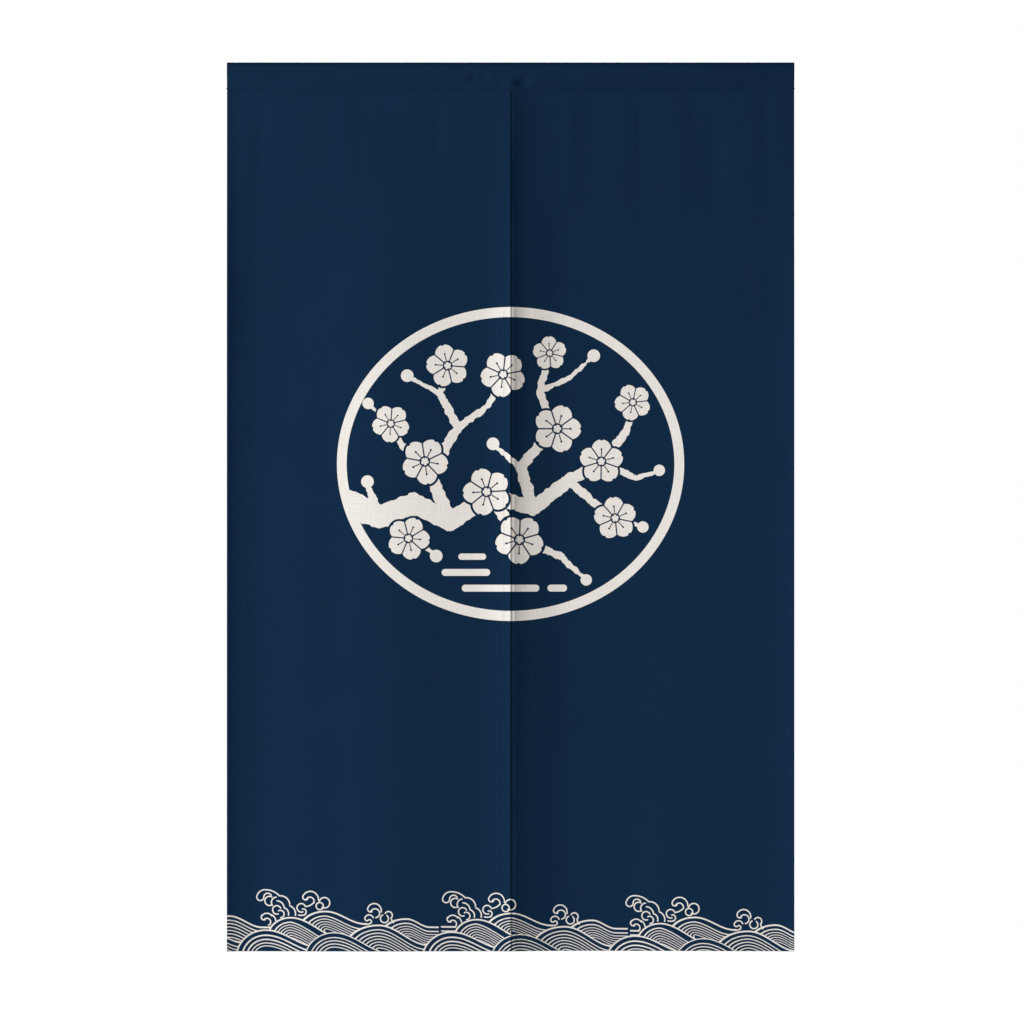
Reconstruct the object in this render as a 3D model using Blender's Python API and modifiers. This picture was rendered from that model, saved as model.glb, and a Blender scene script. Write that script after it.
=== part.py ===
# Noren curtain: two cloth panels hung under an open rod sleeve, sewn together above a centre slit.
# Metres, +Z up, +X to the right as seen from the front, and the printed front faces -Y.
# The origin is the middle of the sleeve's top edge, where a rod would carry the curtain.

import math
from collections import namedtuple

import bmesh
import bpy

# Driving sizes
WIDTH = 0.900          # across both panels
DROP = 1.410           # from the sleeve's top edge to the hem
SLEEVE_DROP = 0.043    # from the top edge to the stitch line under the sleeve
SLIT_DROP = 0.254      # from the top edge to the head of the slit
SLEEVE_RADIUS = 0.011  # outside of the sleeve where it would turn over a rod
CLOTH = 0.0012         # one layer
HEM = 0.0024           # cloth with its hem turned to the back
SIDE_HEM = 0.013       # width of the hems at the sides and the slit
BOTTOM_HEM = 0.020     # depth of the hem at the foot
HEM_STEP = 0.002       # width of the step from hem to single cloth
GAP = 0.0003           # between the sleeve and the panels
SLIT_LAP = 0.0015      # how far each panel's inner edge runs past the middle, the right one behind
SEAM_STEP = 0.0020     # how far the right panel's inner edge lies behind the left's at the seam
SLIT_STEP = 0.0042     # and the same at the slit, where both edges are hemmed
STITCHED = 0.0030      # thickness of the sleeve's stitched foot
HELD = 0.0040          # how far below the sleeve its stitches hold a panel's top upright

PANEL_COLUMNS = 28     # between the hems of one panel
ROWS_ABOVE_SLIT = 8
ROWS_BELOW_SLIT = 28
SLEEVE_STATIONS = 60   # along the sleeve
ROLL_STEPS = 10        # round the sleeve's rolled top
WALL_STEPS = 5         # down each wall of the sleeve
FOLLOWS_FROM = 0.45    # how far down its walls, as a share, the sleeve begins to follow the panels

NAVY_LEFT = (0.0065, 0.0210, 0.0560, 1.0)
NAVY_RIGHT = (0.0056, 0.0185, 0.0480, 1.0)
NAVY_SLEEVE = (0.0060, 0.0190, 0.0500, 1.0)
CLOTH_ROUGHNESS = 0.9

# A fold's crest runs from x_top at the sleeve to x_foot at the hem, and reach is its half width at each.
# depth is how far it comes forward, or back if negative. It grows from the drop `begins` to the drop
# `full`, and dies away from `fades` to `gone`. An edge fold is steepest at its crest, a swell is round.
Fold = namedtuple("Fold", "panel shape x_top x_foot reach_top reach_foot depth begins full fades gone")

ABOVE = -2.0           # past the sleeve: such a fold has its full depth all the way up
BELOW = 2.0            # past the hem: such a fold runs out of the cloth at its full depth
FOLDS = (
    # The two panels rise to a ridge where they meet.
    Fold("left", "edge", 0.0, 0.0, 0.040, 0.062, 0.0055, -0.100, 0.500, BELOW, BELOW + 1),
    Fold("right", "edge", 0.0, 0.0, 0.024, 0.046, 0.0045, -0.100, 0.500, BELOW, BELOW + 1),
    Fold("right", "edge", 0.0, 0.0, 0.070, 0.135, 0.0050, -0.100, 0.500, BELOW, BELOW + 1),
    Fold("right", "edge", 0.0, 0.0, 0.050, 0.070, 0.0050, 0.020, 0.070, BELOW, BELOW + 1),
    # Beyond it the right panel sinks back, by as much at the middle as its edge folds rise above the left's.
    Fold("right", "swell", 0.150, 0.150, 0.360, 0.360, -0.00795, 0.020, 0.070, BELOW, BELOW + 1),
    Fold("right", "swell", 0.130, 0.130, 0.330, 0.330, -0.00603, -0.100, 0.500, BELOW, BELOW + 1),
    # The right panel's inner edge lies behind the left's, further at the slit than at the seam.
    Fold("right", "swell", 0.0, 0.0, 0.300, 0.300, -SEAM_STEP, ABOVE - 1, ABOVE, BELOW, BELOW + 1),
    Fold("right", "swell", 0.0, 0.0, 0.300, 0.300, SEAM_STEP - SLIT_STEP, 0.080, 0.210, BELOW, BELOW + 1),
    Fold("right", "swell", 0.034, 0.036, 0.050, 0.055, 0.0026, 0.150, 0.320, BELOW, BELOW + 1),
    Fold("right", "swell", 0.318, 0.314, 0.045, 0.045, -0.0026, 0.040, 0.100, 0.130, 0.330),
    Fold("right", "swell", 0.250, 0.270, 0.090, 0.110, 0.0012, 0.500, 1.000, BELOW, BELOW + 1),
    Fold("right", "edge", 0.450, 0.450, 0.050, 0.070, 0.0055, 0.060, 0.450, BELOW, BELOW + 1),
    Fold("left", "swell", -0.190, -0.205, 0.170, 0.180, 0.0080, 0.050, 0.520, BELOW, BELOW + 1),
    Fold("left", "swell", -0.345, -0.330, 0.060, 0.080, 0.0022, 0.300, 0.900, BELOW, BELOW + 1),
    Fold("left", "edge", -0.450, -0.450, 0.045, 0.060, 0.0060, 0.060, 0.400, BELOW, BELOW + 1),
)

# Puckers along the sleeve's front, where the turning is drawn in by its stitches.
Pucker = namedtuple("Pucker", "x width depth")
PUCKERS = (
    Pucker(-0.372, 0.034, -0.0008),
    Pucker(-0.240, 0.040, 0.0006),
    Pucker(-0.118, 0.030, -0.0007),
    Pucker(-0.034, 0.026, -0.0011),
    Pucker(0.000, 0.020, 0.0013),
    Pucker(0.020, 0.022, -0.0016),
    Pucker(0.118, 0.038, 0.0007),
    Pucker(0.202, 0.030, -0.0010),
    Pucker(0.286, 0.034, -0.0012),
    Pucker(0.352, 0.030, 0.0008),
    Pucker(0.410, 0.026, -0.0011),
)


def eased(value, low, high):
    """A smooth step from 0 at low to 1 at high."""
    share = min(max((value - low) / (high - low), 0.0), 1.0)
    return share * share * (3.0 - 2.0 * share)


def fold_shape(shape, away):
    """The height of a fold of depth 1, away from its crest as a share of its half width."""
    if abs(away) >= 1.0:
        return 0.0
    if shape == "edge":
        return (1.0 - abs(away)) ** 2
    return 0.5 + 0.5 * math.cos(math.pi * away)


def forward(panel, x, drop):
    """How far the panel's front lies before the plane under the rod."""
    down = (drop - SLEEVE_DROP) / (DROP - SLEEVE_DROP)
    total = 0.0
    for fold in FOLDS:
        if fold.panel != panel:
            continue
        crest = fold.x_top + (fold.x_foot - fold.x_top) * down
        reach = fold.reach_top + (fold.reach_foot - fold.reach_top) * down
        grown = eased(drop, fold.begins, fold.full) * (1.0 - eased(drop, fold.fades, fold.gone))
        total += fold.depth * grown * fold_shape(fold.shape, (x - crest) / reach)
    return total


def stations(start, end, hem, count):
    """Places from start to end: a hem at each end, its step down, and even columns between."""
    toward = 1.0 if end > start else -1.0
    inner_start = start + toward * (hem + HEM_STEP)
    inner_end = end - toward * (hem + HEM_STEP)
    middle = [inner_start + (inner_end - inner_start) * i / count for i in range(count + 1)]
    return [start, start + toward * hem] + middle + [end - toward * hem, end]


def drops():
    """The rows of a panel, from just under the sleeve to the foot, with one at the head of the slit."""
    first = SLEEVE_DROP + HELD
    last = DROP - BOTTOM_HEM - HEM_STEP
    above = [SLEEVE_DROP + GAP]
    above += [first + (SLIT_DROP - first) * i / ROWS_ABOVE_SLIT for i in range(ROWS_ABOVE_SLIT)]
    below = [SLIT_DROP + (last - SLIT_DROP) * i / ROWS_BELOW_SLIT for i in range(ROWS_BELOW_SLIT + 1)]
    return above + below + [DROP - BOTTOM_HEM, DROP]


def cloth_material(name, colour):
    material = bpy.data.materials.new(name)
    material.use_nodes = True
    shader = material.node_tree.nodes["Principled BSDF"]
    shader.inputs["Base Color"].default_value = colour
    shader.inputs["Roughness"].default_value = CLOTH_ROUGHNESS
    shader.inputs["Metallic"].default_value = 0.0
    return material


def grid_sheet(columns, rows):
    """A grid of faces, and the grid's vertices as a table by column and row."""
    sheet = bmesh.new()
    bmesh.ops.create_grid(sheet, x_segments=columns, y_segments=rows, size=1.0)
    table = {}
    for vert in sheet.verts:
        column = round((vert.co.x + 1.0) / 2.0 * columns)
        row = round((1.0 - vert.co.y) / 2.0 * rows)
        table[column, row] = vert
    sheet.verts.index_update()
    return sheet, table


def add_piece(name, sheet, colour, collection):
    mesh = bpy.data.meshes.new(name)
    sheet.to_mesh(mesh)
    sheet.free()
    mesh.shade_smooth()
    mesh.materials.append(cloth_material(name, colour))
    piece = bpy.data.objects.new(name, mesh)
    collection.objects.link(piece)
    return piece


def make_panel(panel, colour, collection):
    side = -1.0 if panel == "left" else 1.0
    xs = stations(side * WIDTH / 2.0, -side * SLIT_LAP, SIDE_HEM, PANEL_COLUMNS)
    zs = drops()
    sheet, table = grid_sheet(len(xs) - 1, len(zs) - 1)
    for (column, row), vert in table.items():
        x, drop = xs[column], zs[row]
        vert.co = (x, -forward(panel, x, max(drop, SLEEVE_DROP + HELD)) - CLOTH / 2.0, -drop)
    bmesh.ops.recalc_face_normals(sheet, faces=sheet.faces)
    if sum(face.normal.y for face in sheet.faces) > 0:
        bmesh.ops.reverse_faces(sheet, faces=sheet.faces)
    hemmed = []
    for (column, row), vert in table.items():
        at_side = column <= 1
        at_slit = column >= len(xs) - 2 and zs[row] >= SLIT_DROP
        at_foot = row >= len(zs) - 2
        if at_side or at_slit or at_foot:
            hemmed.append(vert.index)
    piece = add_piece("panel_" + panel, sheet, colour, collection)
    piece.vertex_groups.new(name="hem").add(hemmed, 1.0, "REPLACE")
    thicken = piece.modifiers.new("cloth", "SOLIDIFY")
    thicken.thickness = HEM
    thicken.offset = -1.0
    thicken.use_even_offset = True
    thicken.vertex_group = "hem"
    thicken.thickness_vertex_group = CLOTH / HEM
    return piece


def sleeve_outline():
    """Round the sleeve's section as (y, drop, share down the wall), from its foot at the back to the front."""
    half_foot = STITCHED / 2.0
    below = SLEEVE_DROP - SLEEVE_RADIUS
    to_foot = math.hypot(half_foot, below)
    # The walls leave the roll where a line from the foot just touches it.
    turned = math.acos(SLEEVE_RADIUS / to_foot) + math.atan2(half_foot, below)
    start = -math.pi / 2.0 + turned
    roll = []
    for i in range(ROLL_STEPS + 1):
        angle = start + (math.pi - 2.0 * start) * i / ROLL_STEPS
        roll.append((SLEEVE_RADIUS * math.cos(angle), SLEEVE_RADIUS - SLEEVE_RADIUS * math.sin(angle), 0.0))
    top_y, top_drop, _ = roll[0]
    wall = []
    for i in range(WALL_STEPS):
        share = 1.0 - i / WALL_STEPS
        wall.append((top_y + (half_foot - top_y) * share, top_drop + (SLEEVE_DROP - top_drop) * share, share))
    back = wall
    front = [(-y, drop, share) for y, drop, share in reversed(wall)]
    return back + roll + front


def pucker(x, share):
    """How far the sleeve's front stands out at x, most of it halfway down the wall."""
    total = 0.0
    for row in PUCKERS:
        total += row.depth * fold_shape("swell", (x - row.x) / row.width)
    return total * math.sin(math.pi * share)


def make_sleeve(collection):
    outline = sleeve_outline()
    around = len(outline)
    sheet, table = grid_sheet(SLEEVE_STATIONS, around)
    for (column, row), vert in table.items():
        x = -WIDTH / 2.0 + WIDTH * column / SLEEVE_STATIONS
        y, drop, share = outline[row % around]
        if y < 0.0:
            y -= pucker(x, share)
        # Its lower part swings with the panels' top, and the rod's room above is left free.
        swing = forward("left" if x < 0.0 else "right", x, SLEEVE_DROP + HELD)
        y -= swing * eased(share, FOLLOWS_FROM, 1.0)
        vert.co = (x, y, -drop)
    # The grid's first and last rows meet at the foot, which closes the sleeve round.
    bmesh.ops.remove_doubles(sheet, verts=sheet.verts, dist=0.0001)
    bmesh.ops.recalc_face_normals(sheet, faces=sheet.faces)
    top = max(sheet.faces, key=lambda face: face.calc_center_median().z)
    if top.normal.z < 0:
        bmesh.ops.reverse_faces(sheet, faces=sheet.faces)
    piece = add_piece("heading", sheet, NAVY_SLEEVE, collection)
    thicken = piece.modifiers.new("cloth", "SOLIDIFY")
    thicken.thickness = CLOTH
    thicken.offset = -1.0
    thicken.use_even_offset = True
    return piece


def main():
    for item in list(bpy.data.objects):
        bpy.data.objects.remove(item, do_unlink=True)
    curtain = bpy.data.collections.new("noren_curtain")
    bpy.context.scene.collection.children.link(curtain)
    make_sleeve(curtain)
    make_panel("left", NAVY_LEFT, curtain)
    make_panel("right", NAVY_RIGHT, curtain)


main()
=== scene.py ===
import math
import bmesh
import bpy
from collections import namedtuple
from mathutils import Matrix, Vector, noise


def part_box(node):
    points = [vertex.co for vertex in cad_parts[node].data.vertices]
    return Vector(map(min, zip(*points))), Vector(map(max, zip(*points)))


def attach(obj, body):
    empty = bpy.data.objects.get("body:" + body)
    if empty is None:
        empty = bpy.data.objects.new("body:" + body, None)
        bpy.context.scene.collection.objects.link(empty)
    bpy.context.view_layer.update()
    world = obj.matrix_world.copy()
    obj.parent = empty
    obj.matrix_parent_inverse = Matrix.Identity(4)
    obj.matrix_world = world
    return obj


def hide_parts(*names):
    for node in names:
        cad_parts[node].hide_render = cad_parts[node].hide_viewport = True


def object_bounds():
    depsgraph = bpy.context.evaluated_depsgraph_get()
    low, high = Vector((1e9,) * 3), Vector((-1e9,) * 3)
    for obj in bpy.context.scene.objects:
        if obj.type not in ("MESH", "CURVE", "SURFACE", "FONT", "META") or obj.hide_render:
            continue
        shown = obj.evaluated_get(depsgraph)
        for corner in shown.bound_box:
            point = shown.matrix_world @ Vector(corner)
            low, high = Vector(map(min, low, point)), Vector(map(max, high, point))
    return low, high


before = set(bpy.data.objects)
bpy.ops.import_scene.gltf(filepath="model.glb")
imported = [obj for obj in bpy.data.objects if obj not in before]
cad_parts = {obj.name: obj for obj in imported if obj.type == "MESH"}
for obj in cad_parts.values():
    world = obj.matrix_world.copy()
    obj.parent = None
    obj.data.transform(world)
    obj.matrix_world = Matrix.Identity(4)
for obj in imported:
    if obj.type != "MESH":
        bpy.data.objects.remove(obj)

# A split doorway curtain: dyed cloth, an open sleeve at the top, a printed medallion and a wave border.
# Metres, +Z up, the printed front faces -Y. Cloth UVs are metres too: across from the slit, and down.

cadLow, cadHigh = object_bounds()
sleeveLow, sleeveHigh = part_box("heading")
width = round(sleeveHigh.x - sleeveLow.x, 3)
drop = round(-cadLow.z, 3)
sleeveDrop = round(-sleeveLow.z, 3)
print("frame loaded:", width, "m wide,", drop, "m long, sleeve", sleeveDrop, "m")


# Camera, lights and floor

studio = {
    "metresAcross": 1.6182,     # what the picture's width covers at the cloth
    "cameraAway": 14.0,
    "sensor": 36.0,
    "lookAt": (-0.0010, -0.7100),   # across and up, the middle of the picture
    "keyAt": (-6.0, -3.6, 0.2),
    "keySize": 3.4,
    "keyPower": 640.0,
    "keyTint": (0.97, 0.985, 1.0),
    "fillAt": (0.3, -4.6, 0.4),
    "fillSize": 3.0,
    "fillPower": 37.0,
    "fillTint": (1.0, 0.93, 0.86),
    "backAt": (2.6, 3.4, 0.3),
    "backSize": 2.2,
    "backPower": 95.0,
    "backTint": (1.0, 0.93, 0.86),
    "ambient": (0.112, 0.114, 0.117),
    "floorDrop": 0.55,          # below the hem
    "floorRadius": 2.3,
    "floorSides": 96,
    "floorColour": (0.86, 0.855, 0.845),
    "floorRoughness": 0.8,
}


def addAreaLight(name, place, size, power, tint, target):
    light = bpy.data.lights.new(name, "AREA")
    light.shape = "DISK"
    light.size = size
    light.energy = power
    light.color = tint
    lamp = bpy.data.objects.new(name, light)
    lamp.location = place
    lamp.rotation_euler = (Vector(target) - Vector(place)).to_track_quat("-Z", "Y").to_euler()
    bpy.context.scene.collection.objects.link(lamp)


def addStudio():
    s = studio
    cameraData = bpy.data.cameras.new("camera")
    cameraData.sensor_width = s["sensor"]
    cameraData.lens = s["sensor"] * s["cameraAway"] / s["metresAcross"]
    camera = bpy.data.objects.new("camera", cameraData)
    camera.location = (s["lookAt"][0], -s["cameraAway"], s["lookAt"][1])
    camera.rotation_euler = (math.radians(90), 0, 0)
    bpy.context.scene.collection.objects.link(camera)
    bpy.context.scene.camera = camera
    middle = (0, 0, s["lookAt"][1])
    for name in ("key", "fill", "back"):
        place, size, power, tint = (s[name + part] for part in ("At", "Size", "Power", "Tint"))
        addAreaLight(name + "Light", place, size, power, tint, middle)

    world = bpy.data.worlds.new("studio")
    bpy.context.scene.world = world
    world.use_nodes = True
    tree = world.node_tree
    tree.nodes.clear()
    rays = tree.nodes.new("ShaderNodeLightPath")
    white = tree.nodes.new("ShaderNodeBackground")
    white.inputs["Color"].default_value = (1, 1, 1, 1)
    dim = tree.nodes.new("ShaderNodeBackground")
    dim.inputs["Color"].default_value = (*s["ambient"], 1)
    choose = tree.nodes.new("ShaderNodeMixShader")
    out = tree.nodes.new("ShaderNodeOutputWorld")
    tree.links.new(rays.outputs["Is Camera Ray"], choose.inputs["Fac"])
    tree.links.new(dim.outputs[0], choose.inputs[1])
    tree.links.new(white.outputs[0], choose.inputs[2])
    tree.links.new(choose.outputs[0], out.inputs["Surface"])

    bm = bmesh.new()
    bmesh.ops.create_circle(bm, cap_ends=True, radius=s["floorRadius"], segments=s["floorSides"])
    mesh = bpy.data.meshes.new("floor")
    bm.to_mesh(mesh)
    bm.free()
    floor = bpy.data.objects.new("floor", mesh)
    floor.location = (0, 0, -drop - s["floorDrop"])
    paint = bpy.data.materials.new("floorPaint")
    paint.use_nodes = True
    shader = paint.node_tree.nodes["Principled BSDF"]
    shader.inputs["Base Color"].default_value = (*s["floorColour"], 1)
    shader.inputs["Roughness"].default_value = s["floorRoughness"]
    mesh.materials.append(paint)
    bpy.context.scene.collection.objects.link(floor)
    bpy.context.scene.view_settings.view_transform = "Standard"


addStudio()
print("studio ready")


# Helpers for node trees: a Signal is a socket that can be added, multiplied and so on, with Math nodes

class Signal:
    def __init__(self, tree, socket):
        self.tree = tree
        self.socket = socket

    def maths(self, operation, *others):
        return addMaths(self.tree, operation, self, *others)

    def __add__(self, other):
        return self.maths("ADD", other)

    def __sub__(self, other):
        return self.maths("SUBTRACT", other)

    def __mul__(self, other):
        return self.maths("MULTIPLY", other)

    def __truediv__(self, other):
        return self.maths("DIVIDE", other)

    def __abs__(self):
        return self.maths("ABSOLUTE")

    def least(self, other):
        return self.maths("MINIMUM", other)

    def most(self, other):
        return self.maths("MAXIMUM", other)


def plug(slot, value):
    if isinstance(value, Signal):
        value.tree.links.new(value.socket, slot)
    else:
        slot.default_value = value


def addNode(tree, kind, values, **settings):
    # values go to the node's inputs, by name or place; what comes back are its outputs
    node = tree.nodes.new(kind)
    for name, value in settings.items():
        setattr(node, name, value)
    for label, value in values.items():
        plug(node.inputs[label], value)
    return [Signal(tree, out) for out in node.outputs]


def addMaths(tree, operation, *values):
    return addNode(tree, "ShaderNodeMath", dict(enumerate(values)), operation=operation)[0]


def vectorMaths(tree, operation, *values):
    vector, single = addNode(tree, "ShaderNodeVectorMath", dict(enumerate(values)), operation=operation)
    return single if operation in ("LENGTH", "DISTANCE", "DOT_PRODUCT") else vector


def scaled(vector, factor):
    return addNode(vector.tree, "ShaderNodeVectorMath", {0: vector, "Scale": factor}, operation="SCALE")[0]


def joinXY(tree, x, y):
    return addNode(tree, "ShaderNodeCombineXYZ", {"X": x, "Y": y})[0]


def splitXY(signal):
    return addNode(signal.tree, "ShaderNodeSeparateXYZ", {0: signal})[:2]


def softStep(signal, low, high):
    values = {"Value": signal, "From Min": low, "From Max": high}
    return addNode(signal.tree, "ShaderNodeMapRange", values, interpolation_type="SMOOTHSTEP")[0]


def addNoise(point, scale, detail=2.0):
    values = {"Vector": point, "Scale": scale, "Detail": detail}
    return addNode(point.tree, "ShaderNodeTexNoise", values, noise_dimensions="2D")[0]


def mixValues(share, first, second):
    return addNode(share.tree, "ShaderNodeMix", {"Factor": share, "A": first, "B": second})[0]


def mixColours(share, first, second):
    values = {"Factor": share}
    for place, value in ((6, first), (7, second)):
        values[place] = value if isinstance(value, Signal) else (*value, 1.0)
    return addNode(share.tree, "ShaderNodeMix", values, data_type="RGBA")[2]


socketKinds = {"f": "NodeSocketFloat", "v": "NodeSocketVector", "c": "NodeSocketColor"}


def startGroup(name, inputs, outputs):
    # inputs and outputs: a letter for the kind, then the socket's name
    tree = bpy.data.node_groups.new(name, "ShaderNodeTree")
    for side, words in (("INPUT", inputs), ("OUTPUT", outputs)):
        for word in words:
            kind, label = word.split(" ", 1)
            tree.interface.new_socket(name=label, in_out=side, socket_type=socketKinds[kind])
    source = tree.nodes.new("NodeGroupInput")
    sink = tree.nodes.new("NodeGroupOutput")
    given = [Signal(tree, source.outputs[word.split(" ", 1)[1]]) for word in inputs]
    return tree, sink, given


def useGroup(tree, group, values):
    return addNode(tree, "ShaderNodeGroup", values, node_tree=group)


# Shapes of the print, each as a distance in metres, positive inside the white

printEdge = 0.00030     # softness of the print's edge
milli = 0.001           # the charts below are in millimetres


def makeStroke():
    inputs = ["v Point", "v Start", "v Run", "v Run Over Length Squared", "f Start Half", "f Half Change"]
    tree, sink, given = startGroup("brushStroke", inputs, ["f Inside"])
    point, start, run, share, startHalf, change = given
    away = vectorMaths(tree, "SUBTRACT", point, start)
    along = vectorMaths(tree, "DOT_PRODUCT", away, share).most(0.0).least(1.0)
    distance = vectorMaths(tree, "DISTANCE", away, scaled(run, along))
    plug(sink.inputs["Inside"], startHalf + along * change - distance)
    return tree


def makeArc():
    tree, sink, given = startGroup("curlLine", [
        "v Point", "v Centre", "f Radius", "f Turn", "f End Across", "f End Up"], ["f Distance"])
    point, centre, radius, turn, endX, endY = given
    away = vectorMaths(tree, "SUBTRACT", point, centre)
    spun = addNode(tree, "ShaderNodeVectorRotate", {"Vector": away, "Angle": turn}, rotation_type="Z_AXIS")
    x, y = splitXY(spun[0])
    x = abs(x)
    folded = joinXY(tree, x, y)
    past = addMaths(tree, "GREATER_THAN", endY * x, endX * y)
    ring = abs(vectorMaths(tree, "LENGTH", folded) - radius)
    tip = vectorMaths(tree, "DISTANCE", folded, joinXY(tree, endX * radius, endY * radius))
    plug(sink.inputs["Distance"], mixValues(past, ring, tip))
    return tree


blossomShape = {            # as shares of a blossom's radius
    "petals": 5,
    "petal": 0.44,
    "petalOut": 0.56,
    "notch": 0.09,
    "notchOut": 1.04,
    "cut": 0.030,
    "ring": 0.20,
    "ringHalf": 0.035,
    "stamenOut": 0.40,
    "stamenHalf": (0.13, 0.022),
    "pollen": 0.045,
    "eye": 0.13,
    "keepOut": 0.10,        # navy left round a blossom, over the branches
}


def makeBlossom():
    # petals parted by thin cuts, a ring and a dot in the middle, and a stamen in each petal
    b = blossomShape
    tree, sink, given = startGroup("plumBlossom", [
        "v Point", "v Centre", "f Radius", "f Turn"], ["f Inside", "f Keep Out"])
    point, centre, radius, turn = given
    away = vectorMaths(tree, "SUBTRACT", point, centre)
    x, y = splitXY(away)
    far = vectorMaths(tree, "LENGTH", away) / radius
    angle = addMaths(tree, "ARCTAN2", y, x) + turn
    fifth = math.tau / b["petals"]
    folded = abs(addMaths(tree, "WRAP", angle, fifth / 2, -fifth / 2))
    px = far * folded.maths("COSINE")
    py = far * folded.maths("SINE")
    out = joinXY(tree, px, py)
    fromPetal = vectorMaths(tree, "DISTANCE", out, (b["petalOut"], 0.0, 0.0))
    petals = fromPetal * -1.0 + b["petal"]
    notch = vectorMaths(tree, "DISTANCE", out, (b["notchOut"], 0.0, 0.0)) - b["notch"]
    cut = (addMaths(tree, "SUBTRACT", fifth / 2, folded) * far) - b["cut"]
    ring = abs(far - b["ring"]) - b["ringHalf"]
    stamenLong, stamenThick = b["stamenHalf"]
    stamen = py.most(abs(px - b["stamenOut"]) - stamenLong) - stamenThick
    pollen = fromPetal - b["pollen"]
    inside = petals.least(notch).least(cut).least(ring).least(stamen).least(pollen)
    eye = far * -1.0 + b["eye"]
    plug(sink.inputs["Inside"], inside.most(eye) * radius)
    plug(sink.inputs["Keep Out"], (petals + b["keepOut"]) * radius)
    return tree


# The medallion: a plain ring, and inside it a flowering plum bough with mist behind it

ringPrint = {
    "middleDown": 0.637,        # below the top of the cloth
    "outer": (0.2755, 0.2490),  # half width and half height
    "inner": (0.2600, 0.2330),
    "zoneMargin": 0.006,        # of cloth above and below that has the ring's material
    "roughScale": 95.0,
    "roughDepth": 0.006,
}
ringZoneHalf = ringPrint["outer"][1] + ringPrint["zoneMargin"]

# each branch runs through places in millimetres from the ring's middle, with half of its width there
boughBranches = (
    ((-254, -64, 22), (-208, -84, 18), (-154, -62, 16), (-96, -92, 14.5), (-34, -50, 13), (36, -70, 11.5),
     (92, -26, 10), (146, 0, 8), (184, 54, 6), (196, 96, 4)),
    # up on the left
    ((-96, -92, 11), (-128, -14, 9), (-84, 58, 7), (-112, 112, 5.5), (-100, 156, 4)),
    ((-128, -14, 6.5), (-172, 30, 5), (-190, 64, 4), (-222, 92, 2.5)),
    ((-84, 58, 6), (-36, 92, 4.5), (-12, 140, 3.5)),
    ((-112, 112, 4), (-158, 136, 2.5)),
    # up in the middle
    ((36, -70, 10), (16, -6, 8.5), (66, 56, 7), (46, 116, 5.5), (62, 174, 4)),
    ((46, 116, 4.5), (96, 138, 3.5), (128, 168, 2.5)),
    ((16, -6, 5), (-26, 30, 3)),
    # below, and out to the sides
    ((-34, -50, 10), (14, -118, 7.5), (78, -146, 5.5), (116, -180, 3)),
    ((92, -26, 7.5), (128, -58, 6), (166, -84, 4.5), (206, -98, 2.5)),
    ((146, 0, 6.5), (200, -22, 4.5), (232, -12, 2.5)),
    ((-154, -62, 9), (-162, -114, 6)),
    ((-162, -114, 5), (-122, -142, 2.5)),
    ((-208, -84, 9), (-226, -34, 4)),
)
# flowers, buds and bars of mist, also in millimetres from the ring's middle; a flower's turn is in degrees
Flower = namedtuple("Flower", "x y radius turn")
boughFlowers = (
    Flower(-136, 4, 37, 10),
    Flower(-100, 156, 34, 40),
    Flower(-190, 64, 30, 22),
    Flower(-12, 142, 36, 25),
    Flower(74, 56, 38, 0),
    Flower(62, 176, 27, 50),
    Flower(144, 4, 35, 55),
    Flower(194, 98, 29, 30),
    Flower(14, -120, 39, 20),
    Flower(166, -86, 34, 48),
    Flower(-162, -118, 34, 5),
    Flower(-38, -44, 38, 33),
)
Bud = namedtuple("Bud", "x y radius")
boughBuds = (
    Bud(-226, 96, 9),
    Bud(-164, 140, 10),
    Bud(-28, 32, 10),
    Bud(132, 172, 10),
    Bud(236, -10, 9),
    Bud(210, -100, 9),
    Bud(120, -184, 9),
    Bud(-118, -146, 10),
    Bud(-227, -28, 10),
)
MistBar = namedtuple("MistBar", "x1 x2 y half")
mistBars = (
    MistBar(-104, -38, -172, 5.5),
    MistBar(-72, 40, -197, 5.5),
    MistBar(64, 84, -197, 5.5),
    MistBar(-78, -44, -147, 5),
)


def strokeInside(tree, group, point, start, end):
    x1, y1, half1 = start
    x2, y2, half2 = end
    run = (x2 - x1, y2 - y1)
    squared = run[0] ** 2 + run[1] ** 2
    return useGroup(tree, group, {
        "Point": point,
        "Start": (x1 * milli, y1 * milli, 0),
        "Run": (run[0] * milli, run[1] * milli, 0),
        "Run Over Length Squared": (run[0] / squared / milli, run[1] / squared / milli, 0),
        "Start Half": half1 * milli,
        "Half Change": (half2 - half1) * milli,
    })[0]


def ellipseInside(tree, point, size):
    x, y = splitXY(point)
    share = vectorMaths(tree, "LENGTH", joinXY(tree, x / size[0], y / size[1]))
    away = vectorMaths(tree, "LENGTH", point)
    return away / share - away


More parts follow.
